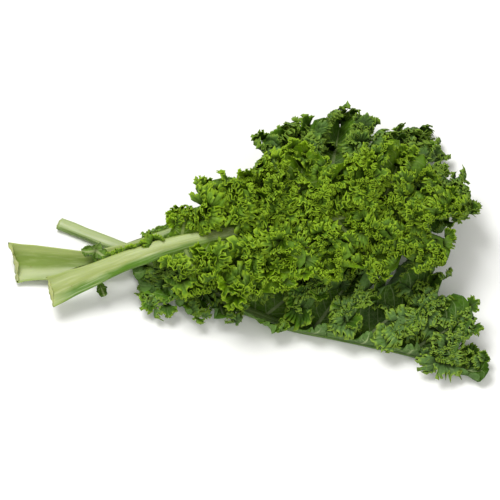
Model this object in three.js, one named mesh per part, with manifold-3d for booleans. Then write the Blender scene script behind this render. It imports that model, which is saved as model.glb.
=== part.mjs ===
// A bunch of curly kale: three picked leaves, lying crossed on a table.
//
// Millimetres, +Z up. +X runs along the bunch from the cut stems to the leaf tips, +Y away from the
// side that is looked at, and the table is z = 0. Each leaf is a pale stem, which is its petiole and
// midrib in one, and a green blade. The blade is a row of lobes down each side of the midrib. Every
// lobe is a gutter with a frilled rim, open towards the leaf's upper face, as curly kale grows them.

import * as THREE from "three";
import Module from "manifold-3d";
import { mergeVertices } from "three/addons/utils/BufferGeometryUtils.js";

const wasm = await Module();
wasm.setup();

// Driving dimensions

const bladeThickness = 0.8;
const layerGap = 2.2; // clear space on each side of a surface that parts two leaves
const layerSoftness = 4; // how gently a blade bends away from that surface
const tableSoftness = 1.2;

const lobeFan = THREE.MathUtils.degToRad(80); // half the angle that a lobe spreads over when flat
const lobeWaist = 0.42; // length of a lobe's side rays, as a share of its middle ray
const rimCurl = 0.9; // how far the end of a lobe turns up
const frillStart = 0.35; // where on a ray the frill begins
const toothDepth = 0.05;
const gutterShare = 0.5; // radius of a lobe's gutter, as a share of the distance between lobes
const tipShare = 0.03; // share of the midrib at its tip that the end lobe goes round
const crestStart = 0.7; // where a lobe begins to bend over to the crest that it shares with the next
const bladeRows = [0, 0.3, 0.58, 0.8, 1];

const mergeDistance = 1e-3; // points closer than this are one point
const stemRings = 22;
const stemSides = 12;

// The top leaf is young and bright, the back leaf has the broad channelled stem, and the low leaf lies
// along the front with its midrib on the table. Rib points run from the cut end to the leaf's tip. The
// lists of a side run from its lowest lobe to the tip: the length of its lobes, their angle to the midrib,
// how far they point up out of the leaf (pitch) and how far they are turned on their own vein (roll).
const leaves = [
  {
    name: "top_leaf",
    seed: 11,
    rib: [
      [-164, -61, 20], [-131, -50, 28], [-98, -40, 37], [-61, -31, 46], [-20, -25, 54],
      [17, -22, 58], [66, -16, 62], [112, -8, 61], [152, -3, 55],
    ],
    face: [[0, -0.35, 1], [0, -0.15, 1]],
    stem: {
      halfWidth: [12.5, 8.5, 8, 4.6, 2.6, 1.2],
      under: [7, 7, 7, 4.2, 2.6, 1.2],
      over: [3, 3, 2, 1.2, 0.8, 0.5],
      channel: [4.5, 2, 0.6, 0.2, 0.1, 0],
    },
    stemColour: "#b9c58a",
    bladeColour: "#6d9a1c",
    stemEnd: 0.93,
    bladeStart: 0.35,
    rootGap: 1,
    lobesPerSide: 6,
    left: { reach: [8, 52, 70, 74, 60], angle: [70, 72, 48], pitch: [6, 8, 0], roll: [8, 8] },
    right: { reach: [34, 56, 66, 74, 80], angle: [80, 68, 54], pitch: [-12, -14, -10], roll: [4, 4] },
    endReach: 50,
    columnsPerLobe: 18,
    wing: 8,
    droop: 0.6,
    frill: 6,
  },
  {
    name: "back_leaf",
    seed: 23,
    rib: [
      [-195, -28, 11], [-164, -29, 12], [-131, -30, 14], [-98, -22, 19], [-57, -5, 24],
      [-8, 18, 28], [49, 41, 31], [107, 49, 31], [162, 24, 26],
    ],
    face: [[0, -0.5, 1], [0, 0.1, 1]],
    stem: {
      halfWidth: [16.5, 11.5, 8, 5, 3, 1.3],
      under: [10, 8, 6.5, 4.8, 2.8, 1.3],
      over: [5, 4, 3, 1.5, 0.8, 0.5],
      channel: [10, 6.5, 3, 0.6, 0.2, 0],
    },
    stemColour: "#a9b877",
    bladeColour: "#3f6b2c",
    stemEnd: 0.95,
    bladeStart: 0.4,
    rootGap: 1,
    lobesPerSide: 6,
    left: {
      reach: [4, 4, 20, 58, 74, 72],
      angle: [88, 88, 80, 70, 90, 42],
      pitch: [4, -16, -28],
      roll: [5, 5],
    },
    right: { reach: [30, 40, 50, 60, 70, 70], angle: [84, 74, 52], pitch: [-6, -6], roll: [0, 0] },
    endReach: 48,
    columnsPerLobe: 18,
    wing: 8,
    droop: 0.4,
    frill: 6,
  },
  {
    name: "low_leaf",
    seed: 37,
    rib: [
      [-158, 14, 3.8], [-123, -2, 4.1], [-94, -15, 4.1], [-57, -37, 4], [-16, -62, 3.7],
      [29, -82, 3.3], [78, -95, 2.9], [123, -107, 2.5], [175, -123, 2.7],
    ],
    face: [[0, 0.1, 1], [0, 0.35, 1]],
    stem: {
      halfWidth: [5.4, 5.2, 5, 4.2, 2.8, 1.2],
      under: [4.6, 4.8, 4.8, 4.2, 2.8, 1.4],
      over: [3.6, 3.2, 2.6, 1.4, 0.8, 0.5],
      channel: [0.6, 0.4, 0.2, 0.1, 0.1, 0],
    },
    stemColour: "#c0ca94",
    bladeColour: "#54802e",
    stemEnd: 0.97,
    bladeStart: 0.22,
    rootGap: 1.8,
    lobesPerSide: 7,
    left: { reach: [12, 50, 84, 106, 90, 60], angle: [78, 68, 58, 28], pitch: [14, 20, 24], roll: [10, 10] },
    right: { reach: [64, 44, 26, 20, 18, 20], angle: [50, 46, 36], pitch: [4, 12, 50, 60], roll: [4, 8] },
    endReach: 34,
    columnsPerLobe: 18,
    wing: 8,
    droop: 0.1,
    frill: 5,
  },
];

// The small leaflet low on the low leaf's stem. It goes over the back leaf's stem and under the top leaf's.
const leaflet = {
  name: "low_leaf_leaflet",
  seed: 5,
  rib: [
    [-121, -6, 10.5], [-123, -13, 19], [-127, -25, 23], [-128, -37, 19], [-125, -48, 13], [-121, -59, 12],
  ],
  face: [[0.1, 0.4, 1], [0, -0.2, 1]],
  stem: { halfWidth: [0, 0] },
  bladeColour: "#6f9440",
  stemEnd: 0.93,
  bladeStart: 0.2,
  rootGap: 0,
  lobesPerSide: 2,
  left: { reach: [18, 0], angle: [66, 50], pitch: [8, 0], roll: [0, 0] },
  right: { reach: [18, 0], angle: [66, 50], pitch: [8, 0], roll: [0, 0] },
  endReach: 12,
  columnsPerLobe: 8,
  wing: 2,
  droop: 0.1,
  frill: 1.6,
};

// Places between the leaves

// Height of the surface that parts the top leaf from the two below it.
function underTopLeaf(x, y) {
  const crest = THREE.MathUtils.lerp(20, 44, THREE.MathUtils.smoothstep(x, -135, 60));
  const beyondFront = Math.max(0, -60 - y);
  const beyondBack = Math.max(0, y - 35);
  return crest - 0.3 * beyondFront + 0.5 * beyondBack;
}

// Height of the surface that parts the back leaf, above it, from the low leaf, below it.
function underBackLeaf(x, y) {
  const rib = leaves[1].curve.getPoint(THREE.MathUtils.clamp((x + 195) / 361, 0, 1));
  return Math.min(rib.z - 9 - 0.3 * (y - rib.y), underTopLeaf(x, y) - 8);
}

// A height kept above a floor, or below a ceiling, that bends gently into it.
const softRamp = (rise, softness) => softness * Math.log1p(Math.exp(rise / softness));
const softAbove = (z, floor, softness) => floor + softRamp(z - floor, softness);
const softBelow = (z, ceiling, softness) => ceiling - softRamp(ceiling - z, softness);

// Bends a point of a blade into its own leaf's layer of the bunch, and keeps it on the table.
function settle(leaf, p) {
  const top = underTopLeaf(p.x, p.y);
  const split = underBackLeaf(p.x, p.y);
  let z = p.z;
  if (leaf.name === "top_leaf") z = softAbove(z, top + layerGap, layerSoftness);
  if (leaf.name === "back_leaf") {
    z = softAbove(z, split + layerGap, layerSoftness);
    z = softBelow(z, top - layerGap, layerSoftness);
  }
  if (leaf.name === "low_leaf") z = softBelow(z, split - layerGap, layerSoftness);
  p.z = softAbove(z, bladeThickness / 2, tableSoftness);
  return p;
}

// Small helpers

const radians = THREE.MathUtils.degToRad;

// A direction turned by an angle towards another that is square to it.
function turned(from, to, angle) {
  return from.clone().multiplyScalar(Math.cos(angle)).addScaledVector(to, Math.sin(angle));
}

// A number from -1 to 1 that is always the same for the same leaf, lobe and purpose.
function jitter(seed, index, purpose) {
  const s = Math.sin(seed * 12.9898 + index * 78.233 + purpose * 37.719) * 43758.5453;
  return 2 * (s - Math.floor(s)) - 1;
}

// A value between the entries of a list, spread evenly from 0 to 1.
function along(list, t) {
  const place = THREE.MathUtils.clamp(t, 0, 1) * (list.length - 1);
  const i = Math.min(Math.floor(place), list.length - 2);
  return THREE.MathUtils.lerp(list[i], list[i + 1], place - i);
}

// The point on a leaf's midrib at share t of its length, with the directions along it, to its left and
// out of the leaf's upper face.
function ribFrame(leaf, t) {
  const point = leaf.curve.getPoint(t);
  const forward = leaf.curve.getTangent(t);
  const face = new THREE.Vector3(...leaf.face[0]).lerp(new THREE.Vector3(...leaf.face[1]), t);
  const up = face.addScaledVector(forward, -face.dot(forward)).normalize();
  const left = up.clone().cross(forward);
  return { point, forward, up, left };
}

function geometryOf(points, triangles) {
  const positions = new Float32Array(points.flatMap((p) => [p.x, p.y, p.z]));
  return new THREE.BufferGeometry()
    .setAttribute("position", new THREE.BufferAttribute(positions, 3))
    .setIndex(triangles);
}

// A solid with the shape of a closed geometry, turned right side out where that is inside out.
function solidFrom(geometry) {
  const bare = geometry.clone();
  bare.deleteAttribute("normal");
  bare.deleteAttribute("uv");
  const merged = mergeVertices(bare, mergeDistance);
  const vertProperties = merged.attributes.position.array;
  const triVerts = new Uint32Array(merged.index.array);
  const made = new wasm.Manifold(new wasm.Mesh({ numProp: 3, vertProperties, triVerts }));
  if (made.volume() > 0) return made;
  triVerts.reverse();
  return new wasm.Manifold(new wasm.Mesh({ numProp: 3, vertProperties, triVerts }));
}

function geometryFrom(solid) {
  const mesh = solid.getMesh();
  return new THREE.BufferGeometry()
    .setAttribute("position", new THREE.BufferAttribute(new Float32Array(mesh.vertProperties), 3))
    .setIndex(new THREE.BufferAttribute(new Uint32Array(mesh.triVerts), 1));
}

// A closed sheet of the blade's thickness round a grid of points, split alike on both faces.
function sheetSolid(grid) {
  const rows = grid.length;
  const columns = grid[0].length;
  const at = (i, j) => grid[THREE.MathUtils.clamp(i, 0, rows - 1)][THREE.MathUtils.clamp(j, 0, columns - 1)];
  const normalAt = (i, j) => {
    const down = at(i + 1, j).clone().sub(at(i - 1, j));
    const across = at(i, j + 1).clone().sub(at(i, j - 1));
    return down.cross(across).normalize();
  };
  const points = [];
  for (const sign of [1, -1])
    for (let i = 0; i < rows; i++)
      for (let j = 0; j < columns; j++)
        points.push(at(i, j).clone().addScaledVector(normalAt(i, j), (sign * bladeThickness) / 2));
  const triangles = [];
  const back = rows * columns;
  const index = (i, j) => i * columns + j;
  for (let i = 0; i < rows - 1; i++)
    for (let j = 0; j < columns - 1; j++) {
      const [a, b, c, d] = [index(i, j), index(i + 1, j), index(i + 1, j + 1), index(i, j + 1)];
      triangles.push(a, b, c, a, c, d, back + a, back + c, back + b, back + a, back + d, back + c);
    }
  const border = [];
  for (let i = 0; i < rows - 1; i++) border.push(index(i, 0));
  for (let j = 0; j < columns - 1; j++) border.push(index(rows - 1, j));
  for (let i = rows - 1; i > 0; i--) border.push(index(i, columns - 1));
  for (let j = columns - 1; j > 0; j--) border.push(index(0, j));
  border.forEach((a, k) => {
    const b = border[(k + 1) % border.length];
    triangles.push(b, a, back + a, b, back + a, back + b);
  });
  return solidFrom(geometryOf(points, triangles));
}

// Stems

// A cylinder bent along the midrib. Its section is a flattened round with a channel in its upper face,
// broad at the cut end and thin at the tip.
function stemGeometry(leaf) {
  const geometry = new THREE.CylinderGeometry(1, 1, 1, stemSides, stemRings, false);
  const positions = geometry.attributes.position;
  const { halfWidth, under, over, channel } = leaf.stem;
  for (let i = 0; i < positions.count; i++) {
    const t = positions.getY(i) + 0.5;
    const across = positions.getX(i);
    const height = positions.getZ(i);
    const inset = Math.min(1, Math.hypot(across, height));
    const frame = ribFrame(leaf, t * leaf.stemEnd);
    const depth = along(channel, t) * Math.max(0, height) ** 1.5 * inset;
    const sideways = across * along(halfWidth, t);
    const upwards = height * along(height > 0 ? over : under, t) - depth;
    const p = frame.point.addScaledVector(frame.left, sideways).addScaledVector(frame.up, upwards);
    positions.setXYZ(i, p.x, p.y, p.z);
  }
  return geometry;
}

// Lobes and blades

// The lobes of a leaf in order round its margin: up the left side from the lowest, the end lobe past the
// midrib's tip, and down the right side. Place is 0 for the lowest lobe of a side and 1 at the tip.
function lobesOf(leaf) {
  const sideLobes = (side) =>
    Array.from({ length: leaf.lobesPerSide }, (_, index) => {
      const place = (index + 0.5) / leaf.lobesPerSide;
      const number = index + (side > 0 ? 0 : 50);
      const { reach, angle, pitch, roll } = side > 0 ? leaf.left : leaf.right;
      const vary = (purpose) => jitter(leaf.seed, number, purpose);
      return {
        side,
        t: THREE.MathUtils.lerp(leaf.bladeStart, leaf.stemEnd - tipShare, place),
        length: along(reach, place) * (1 + 0.08 * vary(1)),
        angle: radians(along(angle, place) + 4 * vary(2)),
        pitch: radians(along(pitch, place) + 8 * vary(3)),
        roll: radians(along(roll, place) + 8 * vary(4)),
      };
    });
  const left = sideLobes(1);
  const right = sideLobes(-1).reverse();
  const end = { side: 0, t: leaf.stemEnd, length: leaf.endReach, angle: 0, pitch: 0, roll: 0 };
  const lobes = [...left, end, ...right];
  const spacing = ((leaf.stemEnd - leaf.bladeStart) * leaf.curve.getLength()) / leaf.lobesPerSide;
  for (const lobe of lobes) Object.assign(lobe, lobeFrame(leaf, lobe), { cup: gutterShare * spacing });
  return lobes;
}

// The directions of one lobe: out along its vein, open towards the upper face, and lateral towards the
// next lobe round the margin.
function lobeFrame(leaf, lobe) {
  const { point, forward, up, left } = ribFrame(leaf, lobe.t);
  const flat = turned(forward, left, (lobe.side || 1) * lobe.angle);
  const out = turned(flat, up, lobe.pitch);
  const open = turned(up, flat, -lobe.pitch);
  const across = open.clone().cross(out).negate();
  const lateral = turned(across, open, -(lobe.side || 1) * lobe.roll);
  const opening = turned(open, across, (lobe.side || 1) * lobe.roll);
  return { point, out, opening, lateral };
}

// The middle surface of the blade, as rows of points from the midrib (r = 0) to the margin (r = 1).
function bladeGrid(leaf) {
  const lobes = lobesOf(leaf);
  const { columnsPerLobe } = leaf;
  const columns = lobes.length * columnsPerLobe + 1;
  return bladeRows.map((r) => {
    const crests = lobes.slice(1).map((lobe, i) => {
      const before = lobePoint(leaf, lobes[i], 1, r, 1);
      return before.lerp(lobePoint(leaf, lobe, -1, r, 1), 0.5);
    });
    return Array.from({ length: columns }, (_, column) => {
      const index = Math.min(Math.floor(column / columnsPerLobe), lobes.length - 1);
      const a = (2 * (column - index * columnsPerLobe)) / columnsPerLobe - 1;
      const tooth = column % 2 ? 1 : -1;
      const p = lobePoint(leaf, lobes[index], a, r, tooth);
      const crest = crests[a > 0 ? index : index - 1];
      if (crest) p.lerp(crest, THREE.MathUtils.smoothstep(Math.abs(a), crestStart, 1));
      return settle(leaf, p);
    });
  });
}

// A point of one lobe. A runs from -1 to 1 across the lobe. Rays fan out from the root, the flat fan is
// rolled into a gutter, its end turns up, and every second ray stands proud to make the frilled rim.
function lobePoint(leaf, lobe, a, r, tooth) {
  const { length, cup } = lobe;
  const turn = a * lobeFan;
  const ray = length * (lobeWaist + (1 - lobeWaist) * Math.cos((a * Math.PI) / 2) ** 2);
  const reach = r * ray * (1 + toothDepth * tooth * r);
  const u = reach * Math.cos(turn) + r * leaf.wing;
  const w = reach * Math.sin(turn);
  const share = u / length;
  const rise = 0.5 * rimCurl * Math.max(0, share - 0.4) ** 2 - 0.5 * leaf.droop * share ** 2;
  const rolled = w / cup;
  const radius = cup - leaf.frill * tooth * Math.max(0, (r - frillStart) / (1 - frillStart)) ** 1.3;
  return rootPoint(leaf, lobe, a)
    .lerp(rootPoint(leaf, lobe, 0), r)
    .addScaledVector(lobe.out, u * (1 - 0.08 * rimCurl * share ** 2))
    .addScaledVector(lobe.lateral, radius * Math.sin(rolled))
    .addScaledVector(lobe.opening, length * rise + cup - radius * Math.cos(rolled));
}

// Where the blade meets the midrib, just clear of it. A side's lobes share its length evenly, and the end
// lobe goes round the tip: the middle third of its root lies past the tip, and the rest along the sides.
function rootPoint(leaf, lobe, a) {
  const clearAt = (t) => along(leaf.stem.halfWidth, t / leaf.stemEnd) + leaf.rootGap;
  if (lobe.side) {
    const step = (leaf.stemEnd - tipShare - leaf.bladeStart) / leaf.lobesPerSide;
    const t = lobe.t + (lobe.side * a * step) / 2;
    const { point, left } = ribFrame(leaf, t);
    return point.addScaledVector(left, lobe.side * clearAt(t));
  }
  const round = Math.min(1, Math.abs(a) * 3);
  const t = leaf.stemEnd - tipShare * Math.max(0, (Math.abs(a) * 3 - 1) / 2);
  const { point, forward, left } = ribFrame(leaf, t);
  return point
    .addScaledVector(forward, leaf.rootGap * Math.sqrt(1 - round ** 2))
    .addScaledVector(left, -Math.sign(a) * round * clearAt(t));
}

function largest(solid) {
  const bodies = solid.decompose().sort((a, b) => b.volume() - a.volume());
  return bodies[0];
}

// Takes off what would reach through the table, which leaves a flat spot where the leaf rests.
function onTable(solid) {
  const below = new THREE.BoxGeometry(1000, 1000, 100).translate(0, 0, -50);
  return largest(solid.subtract(solidFrom(below)));
}

// The bunch

for (const leaf of [...leaves, leaflet]) {
  leaf.curve = new THREE.CatmullRomCurve3(leaf.rib.map((p) => new THREE.Vector3(...p)), false, "centripetal");
}

const bunch = new THREE.Group();

function addPiece(name, solid, colour, roughness) {
  const material = new THREE.MeshStandardMaterial({ color: colour, roughness, metalness: 0 });
  const clean = largest(solidFrom(geometryFrom(solid)));
  const piece = new THREE.Mesh(geometryFrom(clean), material);
  piece.name = name;
  bunch.add(piece);
}

for (const leaf of leaves) {
  addPiece(`${leaf.name}_stem`, onTable(solidFrom(stemGeometry(leaf))), leaf.stemColour, 0.5);
  addPiece(`${leaf.name}_blade`, sheetSolid(bladeGrid(leaf)), leaf.bladeColour, 0.6);
}
addPiece(leaflet.name, sheetSolid(bladeGrid(leaflet)), leaflet.bladeColour, 0.6);

// The origin goes to the middle of the bunch's footprint.
const middle = new THREE.Box3().setFromObject(bunch).getCenter(new THREE.Vector3());
for (const piece of bunch.children) piece.geometry.translate(-middle.x, -middle.y, 0);

export default bunch;
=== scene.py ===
# %% [markdown]
# # A bunch of curly kale
#
# Three picked leaves lie crossed on a table: a young bright one on top, a dark one with a broad channelled
# stem behind it, and a long one whose midrib rests on the table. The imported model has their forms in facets.
# This notebook makes the same leaves again with the fine ruffles, veins and skins of real kale.

import math
from functools import partial

import bpy
import numpy as np
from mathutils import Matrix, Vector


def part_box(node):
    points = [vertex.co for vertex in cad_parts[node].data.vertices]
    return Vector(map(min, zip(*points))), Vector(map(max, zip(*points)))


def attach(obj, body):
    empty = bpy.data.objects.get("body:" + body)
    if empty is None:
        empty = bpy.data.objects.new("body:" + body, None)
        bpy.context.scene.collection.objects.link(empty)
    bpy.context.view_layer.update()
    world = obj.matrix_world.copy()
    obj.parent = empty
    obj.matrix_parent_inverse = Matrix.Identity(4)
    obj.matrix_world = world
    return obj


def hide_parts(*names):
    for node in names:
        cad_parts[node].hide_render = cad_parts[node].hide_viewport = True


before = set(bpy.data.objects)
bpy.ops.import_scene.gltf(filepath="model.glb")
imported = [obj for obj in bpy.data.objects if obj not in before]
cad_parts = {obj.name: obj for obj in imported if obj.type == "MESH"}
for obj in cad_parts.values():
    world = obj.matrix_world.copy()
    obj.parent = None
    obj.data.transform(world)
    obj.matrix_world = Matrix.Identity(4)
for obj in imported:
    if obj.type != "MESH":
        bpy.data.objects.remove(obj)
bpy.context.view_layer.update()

# %% [markdown]
# ## The leaves' plan
#
# A leaf is planned as a botanist would press it: a curved midrib, and a row of lobes down each side of it.
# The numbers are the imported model's own, in millimetres on the table, so that each fine leaf lies where its
# plain one does. To follow the real leaves more closely, some lobes differ in reach, angle and roll, the top
# leaf's midrib is slimmer up in its blade, and the leaflet is a little shorter.
# Lists along the midrib run from the cut end, or from the lowest lobe, to the tip. Angles are in degrees.

# %% Plan of the top leaf
MM = 0.001

top_leaf = dict(
    name="top_leaf",
    seed=11,
    rib=[
        (-164, -61, 20), (-131, -50, 28), (-98, -40, 37), (-61, -31, 46), (-20, -25, 54),
        (17, -22, 58), (66, -16, 62), (112, -8, 61), (152, -3, 55),
    ],
    face=[(0, -0.35, 1), (0, -0.15, 1)],
    half_width=[12.5, 8.5, 7.2, 3.6, 2.2, 1.2],
    under=[7, 7, 7, 4.2, 2.6, 1.2],
    over=[3, 3, 2, 1.2, 0.8, 0.5],
    channel=[4.5, 2, 0.6, 0.2, 0.1, 0],
    skin_turn=58,  # how far the pale upper skin is turned round the stem
    cut_slant=-2,
    stem_end=0.93,  # shares of the midrib's length
    blade_start=0.35,
    lobes_per_side=6,
    left=dict(reach=[8, 48, 70, 74, 60], angle=[70, 72, 48], pitch=[6, 8, 0], roll=[8, 8]),
    right=dict(reach=[34, 56, 66, 76, 86], angle=[80, 68, 46], pitch=[-12, -14, -10], roll=[4, 4]),
    end_reach=50,
    wing=8,
    droop=0.6,
    frill=6,
    lobules=7,
    lift=0.5,
    swing=1.5,
    root_lift=0.9,
    curls=42,
    curl=2.4,
    fans=dict(
        per_lobe=56,
        left_cover=[0.4, 1, 1, 1],  # share of their inner curls that the left lobes have, from base to tip
        right_cover=[0.2, 0.5, 0.9, 1],
        bare_below=-0.5,  # noise from -1 to 1 under which a patch stays bare
        clear_rib=0.6,  # share of the way to the rim that the lowest lobes have clear of curls
        lowest=0.05,  # share of the way to the rim where curls begin on the other lobes
        grow=0.1,  # how much larger curls are at a lobe's sides
        flare=[0.4, 0.4],  # how far the rim's curls spread outwards, left and right
        right_frill_end=[1],  # how far round the end lobe and right lobes curls go, from -1 to 1
        calm=1,  # how much larger and plainer curls are near the leaf's base
        rise=40,
    ),
)
print("top leaf is planned with", 2 * top_leaf["lobes_per_side"] + 1, "lobes")

# %% Plan of the back leaf
back_leaf = dict(
    name="back_leaf",
    seed=23,
    rib=[
        (-195, -28, 11), (-164, -29, 12), (-131, -30, 14), (-98, -22, 19), (-57, -5, 24),
        (-8, 18, 28), (49, 41, 31), (107, 49, 31), (162, 24, 26),
    ],
    face=[(0, -0.5, 1), (0, 0.1, 1)],
    half_width=[16.5, 11.5, 8, 5, 3, 1.3],
    under=[10, 8, 6.5, 4.8, 2.8, 1.3],
    over=[5, 4, 3, 1.5, 0.8, 0.5],
    channel=[10, 6.5, 3, 0.6, 0.2, 0],
    skin_turn=30,
    cut_slant=3.5,
    stem_end=0.95,
    blade_start=0.4,
    lobes_per_side=6,
    left=dict(reach=[4, 4, 20, 84, 70, 74], angle=[88, 88, 80, 48, 76, 48], pitch=[4, -16, -28], roll=[5, 5]),
    right=dict(reach=[30, 40, 50, 60, 70, 90], angle=[84, 74, 20], pitch=[-6, -6], roll=[0, 0]),
    end_reach=56,
    wing=8,
    droop=0.4,
    frill=6,
    lobules=7,
    lift=0.5,
    swing=1.4,
    root_lift=0.9,
    curls=42,
    curl=2.4,
    fans=dict(
        per_lobe=52, left_cover=[1], right_cover=[0.6, 0.4, 0.3, 0.6], bare_below=-0.4, clear_rib=0,
        lowest=0.25, grow=0.3, flare=[0.6, 0.6], right_frill_end=[1], calm=0.4, rise=35,
    ),
)
print("back leaf is planned with", 2 * back_leaf["lobes_per_side"] + 1, "lobes")

# %% Plan of the low leaf
low_leaf = dict(
    name="low_leaf",
    seed=37,
    rib=[
        (-158, 14, 3.8), (-123, -2, 4.1), (-94, -15, 4.1), (-57, -37, 4), (-16, -62, 3.7),
        (29, -82, 3.3), (78, -95, 2.9), (123, -107, 2.5), (175, -123, 2.7),
    ],
    face=[(0, 0.1, 1), (0, 0.35, 1)],
    half_width=[5.4, 5.2, 5, 4.2, 2.8, 1.2],
    under=[4.6, 4.8, 4.8, 4.2, 2.8, 1.4],
    over=[3.6, 3.2, 2.6, 1.4, 0.8, 0.5],
    channel=[0.6, 0.4, 0.2, 0.1, 0.1, 0],
    skin_turn=20,
    cut_slant=0,
    stem_end=0.97,
    blade_start=0.22,
    lobes_per_side=7,
    left=dict(reach=[12, 50, 84, 106, 92, 66], angle=[78, 68, 62, 28], pitch=[14, 20, 24], roll=[10, 10]),
    right=dict(reach=[60, 44, 26, 20, 16, 14], angle=[50, 46, 36], pitch=[4, 12, 50, 60], roll=[34, 20]),
    end_reach=35,
    wing=8,
    droop=0.1,
    frill=5,
    lobules=7,
    lift=0.5,
    swing=1.4,
    root_lift=0.9,
    curls=42,
    curl=2.2,
    fans=dict(
        per_lobe=50, left_cover=[0.8, 1, 1, 1], right_cover=[0.5, 0.4, 0.4, 0.5], bare_below=-0.6,
        clear_rib=0, lowest=0.3, grow=0.5, flare=[0.8, 0.2],
        right_frill_end=[0.25, 0.25, 0.1, -0.4, -1, -0.3], calm=0.4, rise=35,
    ),
)
print("low leaf is planned with", 2 * low_leaf["lobes_per_side"] + 1, "lobes")

# %% Plan of the leaflet
leaflet = dict(
    name="low_leaf_leaflet",
    seed=5,
    rib=[
        (-121, -6, 10.5), (-123, -13, 19), (-127, -25, 23), (-128, -36, 20), (-125, -45, 15), (-122, -53, 13),
    ],
    face=[(0.1, 0.4, 1), (0, -0.2, 1)],
    half_width=[0, 0],
    stem_end=0.93,
    blade_start=0.2,
    lobes_per_side=2,
    left=dict(reach=[18, 0], angle=[66, 50], pitch=[8, 0], roll=[0, 0]),
    right=dict(reach=[18, 0], angle=[66, 50], pitch=[8, 0], roll=[0, 0]),
    end_reach=12,
    wing=2,
    droop=0.1,
    frill=1.6,
    lobules=4,
    lift=0.3,
    swing=0.8,
    root_lift=0.2,
    curls=18,
    curl=1.0,
)
leaves = [top_leaf, back_leaf, low_leaf]
print("planned", ", ".join(leaf["name"] for leaf in [*leaves, leaflet]))

# %% [markdown]
# ## Midribs
#
# Every stem is one smooth curve. It could be a Blender curve object, but the blades need its direction at any
# place too, so it is worked out as a formula: a centripetal Catmull-Rom curve, which passes through all its
# points without overshooting. At each place three directions are kept: forward along the rib, up out of the
# leaf's upper face, and left.

# %% Helpers for curves and places
def smoothstep(value, low, high):
    share = np.clip((value - low) / (high - low), 0, 1)
    return share * share * (3 - 2 * share)


def along(values, share):
    """A value between the entries of a list that is spread evenly from 0 to 1."""
    return np.interp(np.clip(share, 0, 1), np.linspace(0, 1, len(values)), values)


def unit(vectors):
    return vectors / np.maximum(np.linalg.norm(vectors, axis=-1, keepdims=True), 1e-9)


def dot(a, b):
    return np.sum(a * b, axis=-1, keepdims=True)


def curve_points(points, share):
    """Points of the centripetal Catmull-Rom curve through the given points, at shares 0 to 1."""
    points = np.array(points, float)
    spans = len(points) - 1
    ends = np.vstack([2 * points[0] - points[1], points, 2 * points[-1] - points[-2]])
    place = np.clip(np.asarray(share, float), 0, 1) * spans
    first = np.minimum(place.astype(int), spans - 1)
    part = (place - first)[..., None]
    p0, p1, p2, p3 = (ends[first + step] for step in range(4))
    gaps = [np.linalg.norm(b - a, axis=-1, keepdims=True) ** 0.5 for a, b in ((p0, p1), (p1, p2), (p2, p3))]
    d0, d1, d2 = gaps
    start = ((p1 - p0) / d0 - (p2 - p0) / (d0 + d1) + (p2 - p1) / d1) * d1
    end = ((p2 - p1) / d1 - (p3 - p1) / (d1 + d2) + (p3 - p2) / d2) * d1
    square = -3 * p1 + 3 * p2 - 2 * start - end
    cube = 2 * p1 - 2 * p2 + start + end
    return p1 + start * part + square * part**2 + cube * part**3


def measure_rib(leaf, steps=600):
    """Works the midrib out once at even shares of its length, with its three directions."""
    share = np.linspace(0, 1, steps + 1)
    point = curve_points(leaf["rib"], share)
    forward = unit(curve_points(leaf["rib"], share + 1e-4) - curve_points(leaf["rib"], share - 1e-4))
    faces = np.array(leaf["face"], float)
    face = faces[0] + (faces[1] - faces[0]) * share[:, None]
    up = unit(face - forward * dot(face, forward))
    leaf["rib_table"] = np.hstack([point, forward, up, np.cross(up, forward)])
    leaf["rib_length"] = np.linalg.norm(np.diff(point, axis=0), axis=1).sum()


def rib_frame(leaf, share):
    """The point on the midrib, with the directions along it, out of the upper face, and to its left."""
    table = leaf["rib_table"]
    place = np.clip(np.asarray(share, float), 0, 1) * (len(table) - 1)
    first = np.minimum(place.astype(int), len(table) - 2)
    part = (place - first)[..., None]
    row = table[first] * (1 - part) + table[first + 1] * part
    return row[..., 0:3], row[..., 3:6], row[..., 6:9], row[..., 9:12]


for leaf in [*leaves, leaflet]:
    measure_rib(leaf)
    print(leaf["name"], "rib length", round(leaf["rib_length"]), "mm")

# %% [markdown]
# ## Chance
#
# Nothing that grew is regular. All of it comes from one wave that looks random but is the same each run, so
# the leaves come out the same each time. Noise is that wave smoothed between whole numbers.

# %% Helpers for chance
def jitter(seed, index, purpose):
    """Numbers from -1 to 1 that are always the same for the same seed, index and purpose."""
    wave = np.sin(seed * 12.9898 + np.asarray(index, float) * 78.233 + purpose * 37.719) * 43758.5453
    return 2 * (wave - np.floor(wave)) - 1


def noise(place, seed):
    """Smooth noise from -1 to 1 along a line."""
    cell = np.floor(place)
    blend = smoothstep(place - cell, 0, 1)
    return jitter(seed, cell, 1) * (1 - blend) + jitter(seed, cell + 1, 1) * blend


def noise_over(x, y, seed):
    """Smooth noise from -1 to 1 over a surface."""
    row = np.floor(y)
    blend = smoothstep(y - row, 0, 1)
    return noise(x + 57 * row, seed) * (1 - blend) + noise(x + 57 * (row + 1), seed) * blend


print("first chances", np.round(jitter(1, np.arange(3), 1), 3))

# %% [markdown]
# ## Stems
#
# A kale stem is a fleshy flattened rod with a channel along its upper face, widest where it was cut and thin
# at the tip. It could be a curve with a bevel, but its section changes all along. So a grid primitive is
# rolled into a tube: its width goes round the stem and its height along it. The first and last rows close
# the ends. The cut end is left ragged and hollow, as a snapped stem's is once its pith has dried.

# %% Stem sections
stem_sides = 40
cut_rows = 8
stem_rows = 130
tip_rows = 4
strand_ridge = 0.16  # height of the fine strands that run along a stem
strands_round = 17
lump_height = 0.5
full_relief = 5  # half width under which a stem's strands and lumps get weaker
cut_roughness = 1.3
cut_hollow = 2.5  # how far the pith has shrunk back inside the cut end
rough_share = 0.015  # shares of the stem over which the roughness and the slant of its cut fade
slant_share = 0.08


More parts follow.
